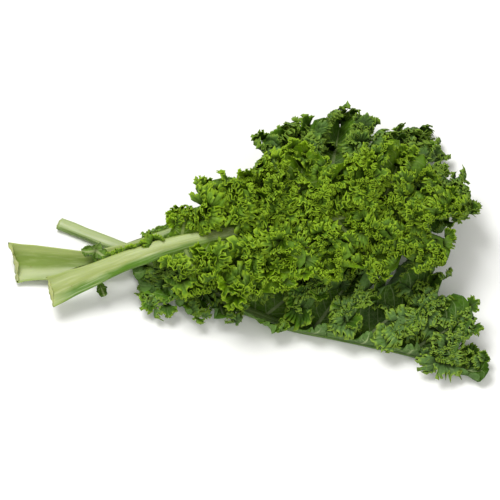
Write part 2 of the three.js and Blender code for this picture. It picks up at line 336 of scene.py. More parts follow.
def stem_points(leaf, turn, share, inset, rough=1.0):
    """Points of a stem in millimetres. Turn is the angle round it, inset runs from its axis to its skin."""
    point, forward, up, left = rib_frame(leaf, share * leaf["stem_end"])
    across = inset * np.cos(turn)
    height = inset * np.sin(turn)
    tall = np.where(height > 0, along(leaf["over"], share), along(leaf["under"], share))
    depth = along(leaf["channel"], share) * np.maximum(0, height) ** 1.5 * inset
    width = along(leaf["half_width"], share)
    lines = strand_ridge * np.sin(turn * strands_round + 0.8 * noise(share * 9, leaf["seed"])) * inset
    lumps = lump_height * noise_over(turn * 1.3, share * 26, leaf["seed"] + 3) * inset
    swell = rough * (lines + lumps) * np.minimum(1, width / full_relief)
    near_cut = 1 - smoothstep(share, 0, rough_share)
    torn = noise_over(across * 2.5, height * 2.5, leaf["seed"] + 7)
    torn = torn + 0.5 * noise_over(across * 7, height * 7, 9)
    back = rough * near_cut * (cut_roughness * torn * width / 12 + cut_hollow * (1 - inset**2))
    back = back - rough * leaf["cut_slant"] * across * (1 - smoothstep(share, 0, slant_share))
    p = point + left * (across * (width + swell))[..., None]
    p = p + up * (height * (tall + swell) - depth)[..., None] + forward * back[..., None]
    p[..., 2] = np.maximum(p[..., 2], 0)
    return p


coarse_turn, coarse_share = np.meshgrid(np.arange(12) * math.tau / 12, np.linspace(0, 1, 23))
model_stem = stem_points(back_leaf, coarse_turn, coarse_share, np.ones_like(coarse_turn), rough=0)
print("back stem starts at x", round(model_stem[..., 0].min(), 2), "mm on the plan")

# %% [markdown]
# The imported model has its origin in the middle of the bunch's footprint, and the plan hasn't. The step
# between them is measured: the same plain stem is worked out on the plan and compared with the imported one.

# %% Step from the plan to the model
packed_low, packed_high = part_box("back_leaf_stem")
to_model = np.array([
    packed_low.x / MM - model_stem[..., 0].min(),
    packed_high.y / MM - model_stem[..., 1].max(),
    0,
])
print("step from plan to model in mm", np.round(to_model, 2))

# %% [markdown]
# ## From grids to pieces
#
# Each piece starts as a flat grid primitive, as a pattern of cloth would. Places on the pattern are then
# turned into places in space by the plan's formulas, which no modelling operator can do. A deselect comes
# first, because the loaded model is selected.

# %% Helpers for pieces
pieces = []


def flat_pattern(name, columns, rows):
    """A grid from (0, 0) to (1, 1) with so many faces each way."""
    bpy.ops.object.select_all(action="DESELECT")
    middle = (0.5, 0.5, 0)
    bpy.ops.mesh.primitive_grid_add(x_subdivisions=columns, y_subdivisions=rows, size=1, location=middle)
    bpy.ops.object.transform_apply(location=True, rotation=False, scale=False)
    piece = bpy.context.object
    piece.name = name
    piece.data.name = name
    return piece


def pattern_places(piece):
    places = np.empty(len(piece.data.vertices) * 3, np.float32)
    piece.data.vertices.foreach_get("co", places)
    return places.reshape(-1, 3).astype(float)


def place_points(piece, points_mm):
    """Moves the piece's vertices to points on the plan, in the model's frame and in metres."""
    points = (points_mm + to_model) * MM
    piece.data.vertices.foreach_set("co", points.astype(np.float32).ravel())
    piece.data.update()


def write_value(piece, name, values):
    """Keeps one number for each vertex on the piece, for its material to read."""
    layer = piece.data.attributes.new(name, "FLOAT", "POINT")
    layer.data.foreach_set("value", np.asarray(values, np.float32))


def write_pattern_uv(piece, across, up):
    """Writes flat pattern coordinates, in decimetres, to the piece's UV map."""
    corners = np.empty(len(piece.data.loops), np.int32)
    piece.data.loops.foreach_get("vertex_index", corners)
    flat = np.stack([across, up], axis=1)[corners] / 100
    piece.data.uv_layers[0].data.foreach_set("uv", flat.astype(np.float32).ravel())


def finish_piece(piece, node):
    """Smooth skin, riding on the bunch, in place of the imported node."""
    bpy.ops.object.select_all(action="DESELECT")
    piece.select_set(True)
    bpy.context.view_layer.objects.active = piece
    bpy.ops.object.shade_smooth()
    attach(piece, "root")
    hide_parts(node)
    pieces.append(piece)
    print(piece.name, len(piece.data.polygons), "faces")


# %% [markdown]
# The skin keeps four numbers at each place for its material: how far it faces up, how far it is across the
# stem, how far it is along, and whether it is part of the cut.

# %% Roll the stems
skin_round = 50  # millimetres of skin round a stem
merge_reach = 2e-5


def make_stem(leaf):
    rows = cut_rows + stem_rows + tip_rows
    piece = flat_pattern(leaf["name"] + "_stem_skin", stem_sides, rows)
    places = pattern_places(piece)
    turn = places[:, 0] * math.tau
    row = places[:, 1] * rows
    share = np.clip((row - cut_rows) / stem_rows, 0, 1)
    inset = np.clip(row / cut_rows, 0, 1) * np.clip((rows - row) / tip_rows, 0, 1)
    place_points(piece, stem_points(leaf, turn, share, inset))
    write_value(piece, "upward", np.sin(turn + math.radians(leaf["skin_turn"])) * inset)
    write_value(piece, "across", 0.5 + 0.5 * np.cos(turn) * inset)
    write_value(piece, "cut", 1 - np.clip(row / cut_rows, 0, 1) ** 6)
    write_value(piece, "share", share)
    write_pattern_uv(piece, places[:, 0] * skin_round, share * leaf["rib_length"])
    bpy.ops.object.mode_set(mode="EDIT")
    bpy.ops.mesh.select_all(action="SELECT")
    bpy.ops.mesh.remove_doubles(threshold=merge_reach)
    bpy.ops.mesh.normals_make_consistent(inside=False)
    bpy.ops.object.mode_set(mode="OBJECT")
    finish_piece(piece, leaf["name"] + "_stem")
    return piece


stem_pieces = {leaf["name"]: make_stem(leaf) for leaf in leaves}

# %% [markdown]
# ## Lobes
#
# A blade of curly kale is a row of lobes, each a gutter that opens towards the upper face, with its main vein
# in the bottom and its rim turned up. Here a lobe starts as a flat fan of rays that is rolled into a gutter,
# and neighbours share a crest near the midrib.

# %% The lobes' places and directions
lobe_fan = math.radians(80)
gutter_share = 0.5
tip_share = 0.03
root_sink = 0.7  # how far a blade's root is sunk into its stem
length_chance = 0.08
angle_chance = 4
tilt_chance = 8


def turned(start, towards, angle):
    angle = np.asarray(angle)[..., None]
    return start * np.cos(angle) + towards * np.sin(angle)


def lobes_of(leaf):
    """All lobes in order round the margin: up the left side, the end lobe, and down the right side."""
    count = leaf["lobes_per_side"]
    rows = []
    for side, habit in ((1, leaf["left"]), (-1, leaf["right"])):
        numbers = range(count) if side > 0 else range(count - 1, -1, -1)
        for index in numbers:
            place = (index + 0.5) / count
            number = index + (0 if side > 0 else 50)
            share = leaf["blade_start"] + (leaf["stem_end"] - tip_share - leaf["blade_start"]) * place
            length = along(habit["reach"], place) * (1 + length_chance * jitter(leaf["seed"], number, 1))
            angle = along(habit["angle"], place) + angle_chance * jitter(leaf["seed"], number, 2)
            pitch = along(habit["pitch"], place) + tilt_chance * jitter(leaf["seed"], number, 3)
            roll = along(habit["roll"], place) + tilt_chance * jitter(leaf["seed"], number, 4)
            rows.append((side, share, length, angle, pitch, roll))
        if side > 0:
            rows.append((0, leaf["stem_end"], leaf["end_reach"], 0, 0, 0))
    side, share, length, angle, pitch, roll = np.array(rows, float).T
    sign = np.where(side == 0, 1, side)
    angle, pitch, roll = np.radians(angle), np.radians(pitch), np.radians(roll)
    _, forward, up, left = rib_frame(leaf, share)
    flat = turned(forward, left, sign * angle)
    out = turned(flat, up, pitch)
    open_way = turned(up, flat, -pitch)
    across = -np.cross(open_way, out)
    spacing = (leaf["stem_end"] - leaf["blade_start"]) * leaf["rib_length"] / count
    return dict(
        side=side,
        share=share,
        length=length,
        cup=gutter_share * spacing,
        out=out,
        lateral=turned(across, open_way, -sign * roll),
        opening=turned(open_way, across, sign * roll),
    )


def root_points(leaf, lobes, index, a):
    """Where the blade meets the midrib. The end lobe goes round the tip."""
    side = lobes["side"][index]
    step = (leaf["stem_end"] - tip_share - leaf["blade_start"]) / leaf["lobes_per_side"]
    round_tip = np.minimum(1, np.abs(a) * 3)
    tip_place = leaf["stem_end"] - tip_share * np.maximum(0, (np.abs(a) * 3 - 1) / 2)
    share = np.where(side == 0, tip_place, lobes["share"][index] + side * a * step / 2)
    point, _, _, left = rib_frame(leaf, share)
    half = np.maximum(0, along(leaf["half_width"], share / leaf["stem_end"]) - root_sink)
    sideways = np.where(side == 0, -np.sign(a) * round_tip, side) * half
    return point + left * sideways[..., None]


for leaf in [*leaves, leaflet]:
    leaf["lobes"] = lobes_of(leaf)
    print(leaf["name"], "has", len(leaf["lobes"]["side"]), "lobes")

# %% [markdown]
# ## Frill
#
# The margin of curly kale has far more length than the lobe has room for, so it buckles, and its buckles
# buckle again. It could be grown by a cloth simulation of a stretched rim, but that is slow and hard to
# steer. Here the three generations are formulas on the flat fan. First each lobe is cut into lobules, which
# spread like small fans. Then every lobule bends up over the leaf, or hangs, as chance has it. Last, the rim
# sways in curls of a few millimetres, which close up like the bends of a river.

# %% Lobules, bends and curls
lobe_waist = 0.4
rim_curl = 0.9
crest_start = 0.75
frill_start = 0.3
lobule_cut = 0.22  # how deep the cuts between lobules are, as a share of the ray
lobule_spread = 1.1
bend_start = 0.4
curl_start = 0.35
curl_sway = 0.12
side_lift_from, side_lift_to = 0.55, 0.95  # places across a lobe between which its sides lift


def frilled_fan(leaf, a, s, r):
    """Distance out, angle and height of points of a lobe's flat fan, all with the frill in them."""
    seed = leaf["seed"]
    lobules = s * leaf["lobules"]
    bulge = 0.5 + 0.5 * np.cos(math.tau * lobules)
    beyond = np.clip((r - frill_start) / (1 - frill_start), 0, 1)
    ray = lobe_waist + (1 - lobe_waist) * np.cos(a * math.pi / 2) ** 2
    ray = ray * (1 - lobule_cut * (1 - bulge**0.7) * beyond)
    fan = lobe_fan * 2 / (math.tau * leaf["lobules"])
    turn = a * lobe_fan + lobule_spread * fan * np.sin(math.tau * lobules) * beyond
    length = ray * leaf["lobes"]["mean_length"]
    bend = leaf["lift"] + leaf["swing"] * noise(lobules + 0.5, seed + 31)
    bend = bend + leaf["root_lift"] * smoothstep(np.abs(a), side_lift_from, side_lift_to)
    hinge = np.minimum(r, bend_start) * length
    after = np.maximum(0, r - bend_start) * length
    tight = bend / ((1 - bend_start) * length)
    tight = np.where(np.abs(tight) < 1e-4, 1e-4, tight)
    out = hinge + np.sin(tight * after) / tight
    height = (1 - np.cos(tight * after)) / tight
    dome = leaf["frill"] * (2 * bulge - 1) * beyond**1.3
    curls = s * leaf["curls"]
    wander = 0.5 * noise(curls * 0.7, seed + 41) + 0.35 * noise_over(curls * 0.5, r * 5, seed + 43)
    phase = math.tau * (curls + wander)
    strength = 0.8 + 0.5 * noise_over(curls * 0.4, r * 4, seed + 47)
    curl = leaf["curl"] * strength * np.sin(phase) * smoothstep(r, curl_start, 1.0)
    sway = curl_sway * lobe_fan * 2 / leaf["curls"] * np.sin(2 * phase) * smoothstep(r, curl_start, 1.0)
    lean = tight * after
    raised = dome + curl
    return out - raised * np.sin(lean), turn - sway, height + raised * np.cos(lean)


def lobe_points(leaf, lobes, index, a, s, r):
    """Points of one lobe. A runs from -1 to 1 across it and r from the midrib to the margin."""
    length = lobes["length"][index]
    out, turn, height = frilled_fan(leaf, a, s, r)
    scale = length / lobes["mean_length"]
    u = out * scale * np.cos(turn) + r * leaf["wing"]
    w = out * scale * np.sin(turn)
    share = u / length
    rise = 0.5 * rim_curl * np.maximum(0, share - 0.4) ** 2 - 0.5 * leaf["droop"] * share**2
    rolled = w / lobes["cup"]
    radius = lobes["cup"] - height * np.minimum(1, scale)
    root = root_points(leaf, lobes, index, a)
    middle = root_points(leaf, lobes, index, np.zeros_like(a))
    p = root + (middle - root) * (r**0.7)[..., None]
    p = p + lobes["out"][index] * (u * (1 - 0.08 * rim_curl * share**2))[..., None]
    p = p + lobes["lateral"][index] * (radius * np.sin(rolled))[..., None]
    return p + lobes["opening"][index] * (length * rise + lobes["cup"] - radius * np.cos(rolled))[..., None]


for leaf in [*leaves, leaflet]:
    leaf["lobes"]["mean_length"] = leaf["lobes"]["length"].mean()
    print(leaf["name"], "has curls", round(200 / leaf["curls"], 1), "mm apart")

# %% [markdown]
# ## Layers of the bunch
#
# The leaves press on each other, and no blade passes through another or through the table. Between them lie
# two smooth surfaces, one under the top leaf and one under the back leaf, and every point of a blade is bent
# gently to its own side of them.

# %% Keep each blade in its layer
blade_half = 0.4
layer_gap = 2.2
layer_softness = 4
table_softness = 1.2
climb_from, climb_to = -135, 60  # the top leaf's floor climbs between these places along the bunch
floor_low, floor_climb = 20, 24
front_edge, front_fall = -60, 0.3
far_edge, far_climb = 35, 0.5
back_rib_start, back_rib_run = -195, 361
below_back_rib, fall_to_far_side = 9, 0.3
back_leaf_room = 8  # the least height between the two floors


def soft_ramp(rise, softness):
    return softness * np.logaddexp(0, rise / softness)


def under_top_leaf(x, y):
    crest = floor_low + floor_climb * smoothstep(x, climb_from, climb_to)
    return crest - front_fall * np.maximum(0, front_edge - y) + far_climb * np.maximum(0, y - far_edge)


def under_back_leaf(x, y):
    rib = curve_points(back_leaf["rib"], (x - back_rib_start) / back_rib_run)
    under_rib = rib[..., 2] - below_back_rib - fall_to_far_side * (y - rib[..., 1])
    return np.minimum(under_rib, under_top_leaf(x, y) - back_leaf_room)


def settle(leaf, p):
    top = under_top_leaf(p[..., 0], p[..., 1])
    split = under_back_leaf(p[..., 0], p[..., 1])
    z = p[..., 2]
    if leaf is top_leaf:
        z = top + layer_gap + soft_ramp(z - top - layer_gap, layer_softness)
    if leaf is back_leaf:
        z = split + layer_gap + soft_ramp(z - split - layer_gap, layer_softness)
        z = top - layer_gap - soft_ramp(top - layer_gap - z, layer_softness)
    if leaf is low_leaf:
        z = split - layer_gap - soft_ramp(split - layer_gap - z, layer_softness)
    z = blade_half + soft_ramp(z - blade_half, table_softness)
    return np.concatenate([p[..., :2], z[..., None]], axis=-1)


def blade_surface(leaf):
    """The whole blade. S counts the lobes round the margin and r runs from the midrib outwards."""
    lobes = leaf["lobes"]
    count = len(lobes["side"])

    def surface(s, r):
        index = np.clip(np.floor(s).astype(int), 0, count - 1)
        a = 2 * (s - index) - 1
        p = lobe_points(leaf, lobes, index, a, s, r)
        before = np.where(a > 0, index, index - 1)
        shared = (before >= 0) & (before < count - 1)
        before = np.clip(before, 0, count - 2)
        edge = np.ones_like(a)
        crest = lobe_points(leaf, lobes, before, edge, s, r)
        crest = (crest + lobe_points(leaf, lobes, before + 1, -edge, s, r)) / 2
        share = smoothstep(np.abs(a), crest_start, 1) * shared
        return settle(leaf, p + (crest - p) * share[..., None])

    return surface


sample = blade_surface(top_leaf)(np.linspace(0, 11, 50), np.full(50, 1.0))
print("top leaf's margin is", np.round(sample[:, 2].min()), "to", np.round(sample[:, 2].max()), "mm high")

# %% [markdown]
# A blade is cut from a pattern of even columns and rows. The margin needs far more faces than the part near
# the midrib, so the outer rows are selected and subdivided, and the outermost once more. Solidify then gives
# the sheet its thickness. Each leaf's blade is two pieces, left and right of the midrib, to keep their files
# small. Each place keeps numbers for the material: how near it is to the margin, how much painted shade
# darkens it near the midrib, and where veins run.

# %% Cut, ruffle and thicken a blade
columns_per_lobe = 12
row_places = [0, 0.3, 0.5, 0.66, 0.8, 0.92]
fine_from = [0.2, 0.4]
sheet_thickness = 0.35
lit_at_rib = 0.45  # how light the blade is at its midrib, where curls shade it


def face_centres(piece):
    centres = np.empty(len(piece.data.polygons) * 3, np.float32)
    piece.data.polygons.foreach_get("center", centres)
    return centres.reshape(-1, 3)


def select_only(piece, kind, chosen):
    """Leaves the piece in edit mode, with only the chosen faces or edges of it selected."""
    bpy.ops.object.mode_set(mode="EDIT")
    bpy.ops.mesh.select_mode(type=kind)
    bpy.ops.mesh.select_all(action="DESELECT")
    bpy.ops.object.mode_set(mode="OBJECT")
    elements = piece.data.polygons if kind == "FACE" else piece.data.edges
    elements.foreach_set("select", chosen)
    bpy.ops.object.mode_set(mode="EDIT")


def subdivide_margin(piece, start):
    """Splits the faces of a pattern beyond the given row share."""
    select_only(piece, "FACE", face_centres(piece)[:, 1] > start)
    bpy.ops.mesh.subdivide(number_cuts=1)
    bpy.ops.object.mode_set(mode="OBJECT")


def thicken(piece):
    """Gives a sheet its thickness, and tells its two faces apart for the material."""
    thickness = piece.modifiers.new("Thickness", "SOLIDIFY")
    thickness.thickness = sheet_thickness * MM
    thickness.offset = 0
    bpy.context.view_layer.objects.active = piece
    bpy.ops.object.modifier_apply(modifier="Thickness")
    half = len(piece.data.vertices) // 2
    write_value(piece, "underside", np.arange(2 * half) >= half)


def make_blade(leaf, name, first, last, surface):
    lobes = leaf["lobes"]
    count = last - first
    piece = flat_pattern(name, count * columns_per_lobe, len(row_places) - 1)
    for start in fine_from:
        subdivide_margin(piece, start)
    places = pattern_places(piece)
    s = first + places[:, 0] * count
    r = along(row_places, places[:, 1])
    place_points(piece, surface(s, r))
    index = np.clip(np.floor(s).astype(int), first, last - 1)
    a = 2 * (s - index) - 1
    turn = a * lobe_fan
    ray = lobes["length"][index] * (lobe_waist + (1 - lobe_waist) * np.cos(a * math.pi / 2) ** 2)
    across = r * ray * np.sin(turn) + (1 - r**0.7) * a * lobes["cup"]
    write_pattern_uv(piece, across, r * ray * np.cos(turn) + r * leaf["wing"])
    write_value(piece, "margin", r)
    write_value(piece, "vein_share", r * ray * np.cos(turn) / lobes["length"][index])
    write_value(piece, "vein_depth", np.ones_like(r))
    # painted shade: the blade is darker near its midrib
    write_value(piece, "painted_root_shade", lit_at_rib + (1 - lit_at_rib) * r)
    thicken(piece)
    return piece


blade_pieces = []
halves = []
for leaf in leaves:
    left_lobes = leaf["lobes_per_side"] + 1
    all_lobes = len(leaf["lobes"]["side"])
    halves.append((leaf, "left", 0, left_lobes, blade_surface(leaf)))
    halves.append((leaf, "right", left_lobes, all_lobes, blade_surface(leaf)))
for leaf, side, first, last, surface in halves:
    piece = make_blade(leaf, leaf["name"] + "_blade_" + side, first, last, surface)
    finish_piece(piece, leaf["name"] + "_blade")
    blade_pieces.append((leaf["name"], piece))

leaflet_lobes = len(leaflet["lobes"]["side"])
small_piece = make_blade(leaflet, "leaflet_blade", 0, leaflet_lobes, blade_surface(leaflet))
finish_piece(small_piece, leaflet["name"])

# %% [markdown]
# ## Inner curls
#
# On a real leaf the lobules at the sides of each lobe fold in over its face, so from above the blade is a
# thicket of small frilled fans. They could be folds of the one sheet, but a sheet that crosses itself
# hundreds of times can't be steered. So they are fans of their own, rooted in the blade where chance and an
# even spread put them, and each one is ruffled by its own waves. Some patches stay bare, where the face of
# the lobe shows its veins.

# %% Fans of inner curls
fan_columns = 10
fan_row_places = [0, 0.42, 0.74, 1]
golden_step = 0.61803  # each next place round a lobe is this share on, which spreads them evenly
rim_fans = 20  # fans on the rim of each lobe
rim_place = 0.88
inner_end = 0.82  # share of the way to the rim where the inner curls end
lobe_edge = 0.95
fan_seed = 300  # added to a leaf's seed, so that its fans have chances of their own
rim_chance = 0.4
full_size_lobe = 50  # fans are smaller on lobes shorter than this
smallest_fan = 0.35


def fan_places(leaf, surface, side, first, last):
    """Where the fans of some lobes are rooted, spread evenly over them, and their directions."""
    habit = leaf["fans"]
    seed = leaf["seed"] + fan_seed
    per_lobe = habit["per_lobe"]
    number = np.arange((last - first) * per_lobe)
    lobe = first + number // per_lobe
    order = number % per_lobe
    inside = order >= rim_fans
    round_rim = (order + 0.5 + rim_chance * jitter(seed, number, 9)) / rim_fans
    a = np.where(inside, np.mod(order * golden_step + 0.5 * jitter(seed, lobe, 1), 1), round_rim)
    a = 2 * lobe_edge * a - lobe_edge
    depth = np.clip((order - rim_fans + 0.5) / (per_lobe - rim_fans), 0, 1) ** 0.7
    r = habit["lowest"] + (inner_end - habit["lowest"]) * depth
    r = np.where(inside, r, rim_place + 0.03 * jitter(seed, number, 10))
    place = (leaf["lobes"]["share"][lobe] - leaf["blade_start"]) / (leaf["stem_end"] - leaf["blade_start"])
    kept = noise_over(lobe + 1.7 * a, r * 2.6, seed + 5) > habit["bare_below"]
    kept &= 0.5 + 0.5 * jitter(seed, number, 8) < along(habit[side + "_cover"], place)
    kept |= ~inside
    kept &= (leaf["lobes"]["side"][lobe] > 0) | (a < along(habit["right_frill_end"], place))
    kept &= r > habit["clear_rib"] * (1 - smoothstep(place, 0.1, 0.4))
    number, lobe, a, r = number[kept], lobe[kept], a[kept], r[kept]
    s = lobe + (a + 1) / 2
    root = surface(s, r)
    round_margin = unit(surface(s + 0.03, r) - surface(s - 0.03, r))
    outward = unit(surface(s, r + 0.05) - surface(s, r - 0.05))
    opening = leaf["lobes"]["opening"][lobe]
    flat = turned(leaf["lobes"]["out"][lobe], leaf["lobes"]["lateral"][lobe], a * lobe_fan)
    on_rim = r > inner_end + 0.01
    flare = np.where(on_rim, habit["flare"][0 if side == "left" else 1], 0)[:, None]
    outward = outward * (1 - flare) + flat * flare
    outward = unit(outward - round_margin * dot(outward, round_margin))
    normal = np.cross(round_margin, outward)
    normal = normal * np.sign(dot(normal, opening))
    grow = 1 + habit["grow"] * smoothstep(np.abs(a), 0.6, 0.95) * smoothstep(r, 0.4, 0.7)
    grow = grow * np.clip(leaf["lobes"]["length"][lobe] / full_size_lobe, smallest_fan, 1)
    calm = habit["calm"] * (1 - smoothstep(place[kept], 0.15, 0.5))
    print(len(number), "fans on", leaf["name"])
    return number, r, grow, root, round_margin, outward, normal, calm


# %% [markdown]
# Each fan is drawn on its own small plane: away from its root, and across. It rises and twists by chance and
# curls over, and it carries waves that grow from nothing at the root to a tight ruffle at the rim, with small
# teeth on the very edge. Near a leaf's base the fans are larger and calmer, as on a real leaf.

# %% The form of one fan
fan_size, size_chance = 15, 0.3
rim_shrink = 0.3  # how much smaller fans are at the rim than at the midrib
rise_chance = 35
rise_inside = 50  # degrees that fans at the midrib rise more than those at the rim
twist_chance = 60
half_spread, spread_chance = 1.15, 0.25
tooth_height = 0.04
fan_waves, wave_chance = 9, 0.25
calm_growth, calm_smoothing = 0.35, 0.45
ruffle_height = 0.18  # share of the fan's size
fan_curl, curl_chance = 0.9, 0.7
fan_sink = 0.6  # how far a fan's root is sunk into its blade


def fan_points(leaf, places, fan, b, q):
    """Points of the fans. B runs from -1 to 1 across a fan and q from its root to its rim."""
    number, r, grow, root, round_margin, outward, normal, calm = places
    habit = leaf["fans"]
    seed = leaf["seed"] + fan_seed
    size = fan_size * (1 + size_chance * jitter(seed, number, 2)) * (1 - rim_shrink * r)
    size = size * grow * (1 + calm_growth * calm)
    rise = np.radians(habit["rise"] + rise_chance * jitter(seed, number, 3) + rise_inside * (1 - r))
    twist = np.radians(twist_chance * jitter(seed, number, 4))
    away = turned(outward, normal, rise)
    across = turned(round_margin, np.cross(away, round_margin), twist)
    face = np.cross(across, away)
    spread = half_spread + spread_chance * jitter(seed, number, 5)
    tooth = np.where(np.round((b + 1) * 2 * fan_columns) % 2, 1, -1) * smoothstep(q, 0.9, 1)
    lobed = 1 + 0.1 * np.cos(b * 9 + number[fan]) + tooth_height * tooth
    length = size[fan] * q * (0.62 + 0.38 * np.cos(b * 1.5)) * lobed
    angle = b * spread[fan]
    waves = fan_waves * (1 + wave_chance * jitter(seed, number, 11)) * (1 - calm_smoothing * calm)
    phase = math.pi * waves[fan] * b + math.tau * jitter(seed, number, 6)[fan]
    phase = phase + 1.2 * noise(b * 3 + 17 * number[fan], seed)
    phase = phase + 4 * (q - 1) * noise(b * 2 + 31 * number[fan], seed)
    strength = 1 + 0.6 * noise(b * 4 + 23 * number[fan], seed + 2)
    ruffle = ruffle_height * size[fan] * q**2.4 * strength * np.sin(phase)
    second = 0.5 * ruffle_height * size[fan] * q**1.5 * np.sin(0.37 * phase + 2 * number[fan])
    second = second + 0.3 * ruffle * np.sin(2.3 * phase) * smoothstep(q, 0.74, 1)
    angle = angle - 0.09 * np.sin(2 * phase) * q**2
    curl = (fan_curl + curl_chance * jitter(seed, number, 7))[fan] * q
    forth = length * np.cos(angle)
    side = length * np.sin(angle)
    height = ruffle + second + 0.5 * length * curl
    width = 0.12 * size[fan] * b * (1 - q)
    p = root[fan] - normal[fan] * fan_sink
    p = p + away[fan] * (forth * (1 - 0.25 * curl**2))[..., None]
    p = p + across[fan] * (side + width)[..., None]
    return settle(leaf, p + face[fan] * height[..., None])


# %% [markdown]
# One pattern holds a row of fans: the faces between two fans are selected and deleted. The rim of a fan needs
# many more columns than its root, so the edges that run across the pattern are split again towards the rim.

# %% Cut the fans from their pattern
finer_columns_from = (0.2, 0.5)


def split_columns(piece, start):
    """Cuts the edges that run across the pattern beyond the given row share, each into two."""
    ends = np.empty(len(piece.data.edges) * 2, np.int32)
    piece.data.edges.foreach_get("vertices", ends)
    rows = pattern_places(piece)[ends.reshape(-1, 2), 1]
    select_only(piece, "EDGE", (np.abs(rows[:, 0] - rows[:, 1]) < 1e-4) & (rows[:, 0] > start))
    bpy.ops.mesh.subdivide(number_cuts=1)
    bpy.ops.object.mode_set(mode="OBJECT")


def make_fans(leaf, name, places):
    count = len(places[0])
    columns = count * (fan_columns + 1)
    piece = flat_pattern(name, columns, len(fan_row_places) - 1)
    column = np.floor(face_centres(piece)[:, 0] * columns).astype(int) % (fan_columns + 1)
    select_only(piece, "FACE", column == fan_columns)
    bpy.ops.mesh.delete(type="FACE")
    bpy.ops.object.mode_set(mode="OBJECT")
    for start in finer_columns_from:
        split_columns(piece, start)
    flat = pattern_places(piece)
    column = flat[:, 0] * columns
    fan = np.clip(np.floor(column / (fan_columns + 1) + 1e-4).astype(int), 0, count - 1)
    b = np.clip(2 * (column - fan * (fan_columns + 1)) / fan_columns - 1, -1, 1)
    q = along(fan_row_places, flat[:, 1])
    place_points(piece, fan_points(leaf, places, fan, b, q))
    write_pattern_uv(piece, b * q * fan_size, q * fan_size)
    write_value(piece, "margin", 0.55 + 0.45 * q)
    write_value(piece, "vein_share", np.ones_like(q))
    write_value(piece, "vein_depth", np.full_like(q, 0.25))
    # painted shade: each fan is darker towards its root
    write_value(piece, "painted_root_shade", q)
    thicken(piece)
    return piece


# %% Root the fans on the blades
for leaf, side, first, last, surface in halves:
    places = fan_places(leaf, surface, side, first, last)
    piece = make_fans(leaf, leaf["name"] + "_curls_" + side, places)
    finish_piece(piece, leaf["name"] + "_blade")
    blade_pieces.append((leaf["name"], piece))

# %% [markdown]
# The top leaf has a last bit of frill on the far side of its stem, below the blade.

# %% Frill along the top leaf's stem
petiole_fans = 16
frill_from, frill_to = 0.19, 0.37
first_number = 900  # numbers of their own, so that these fans repeat none of the blade's
petiole_share = np.linspace(frill_from, frill_to, petiole_fans)
point, forward, up, left = rib_frame(top_leaf, petiole_share)
half = along(top_leaf["half_width"], petiole_share / top_leaf["stem_end"])[:, None]
petiole_places = (
    np.arange(first_number, first_number + petiole_fans),
    np.full(petiole_fans, 0.9),
    0.6 + 0.5 * (petiole_share - frill_from) / (frill_to - frill_from),
    point + left * half - up,
    -forward,
    unit(left - 0.9 * up),
    up,
    np.zeros(petiole_fans),
)
piece = make_fans(top_leaf, "top_leaf_petiole_frill", petiole_places)
finish_piece(piece, "top_leaf_blade")
blade_pieces.append(("top_leaf", piece))

# %% [markdown]
# ## Materials
#
# Colours are given as on a screen, in sRGB hex, and turned to linear for the renderer.

# %% Helpers for materials
def linear(code):
    """An sRGB hex colour as linear numbers."""
    parts = [int(code[i : i + 2], 16) / 255 for i in (1, 3, 5)]
    return (*[p / 12.92 if p <= 0.04045 else ((p + 0.055) / 1.055) ** 2.4 for p in parts], 1.0)


def add_node(material, kind, inputs=(), output=0, stops=(), **settings):
    """Adds a node and gives back one of its outputs.

    Inputs are a list in the node's own order, or a dict by name or number. Each is a number, a colour, or
    another node's output to link from. Stops are the places and hex colours of a colour ramp.
    """
    node = material.node_tree.nodes.new("ShaderNode" + kind)
    for name, value in settings.items():
        setattr(node, name, value)
    for key, value in inputs.items() if isinstance(inputs, dict) else enumerate(inputs):
        if isinstance(value, bpy.types.NodeSocket):
            material.node_tree.links.new(value, node.inputs[key])
        else:
            node.inputs[key].default_value = value
    if stops:
        elements = node.color_ramp.elements
        while len(elements) < len(stops):
            elements.new(0.5)
        for element, (place, code) in zip(elements, stops):
            element.position = place
            element.color = linear(code)
    return node.outputs[output]


def new_material(name):
    material = bpy.data.materials.new(name)
    material.use_nodes = True
    return material, material.node_tree.nodes["Principled BSDF"]


fresh_tissue_ior = 1.42  # watery plant tissue under a thin skin
print("leaf green in linear light", [round(v, 3) for v in linear("#54802e")[:3]])

# %% [markdown]
# A kale blade is living skin over green flesh: a waxy cuticle, matt and a little blue on a dark leaf, thin
# and bright on a young one. Its flesh is patchy, and darker towards the tip, where the leaf is older. Noise
# in the object's own coordinates gives the patches. It could be a texture image, but noise has no seams.

# %% Flesh of a leaf
patch_scale = 45  # noise cells in a metre, so patches about 22 mm wide
old_from, old_to = 0.04, 0.15  # metres along the bunch
oldest_share = 0.7


def leaf_flesh(material, place, dark, flesh, light, old):
    """The colour of the flesh, and the patches that it comes from."""
    add = partial(add_node, material)
    patches = add("TexNoise", {"Vector": place, "Scale": patch_scale, "Detail": 4}, "Fac")
    green = add("ValToRGB", [patches], stops=[(0.3, dark), (0.5, flesh), (0.7, light)])
    age = add("MapRange", [add("SeparateXYZ", [place], "X"), old_from, old_to])
    age = add("Math", [age, oldest_share], operation="MULTIPLY")
    return add("Mix", {0: age, 6: green, 7: linear(old)}, 2, data_type="RGBA"), patches


print("patches about", round(1000 / patch_scale), "mm wide")

# %% [markdown]
# Veins run up each lobe and branch to the margin. The main vein is a wedge along the middle of the lobe's
# pattern, which narrows with the share of the way up. Side veins are slanted stripes, and between them lies a
# fine net of cell edges. The fine ones fade into the ruffles, where no vein can be followed.

# %% Veins of a leaf
vein_width, vein_taper = 0.016, 0.012  # decimetres, the unit of the UV map
side_vein_slant = 0.9
side_vein_rate = 11  # in a decimetre, so a side vein every 9 mm
net_scale = 26  # cells in a decimetre, so the net's meshes are about 4 mm wide
net_strength = 0.3
fine_strength = 0.7


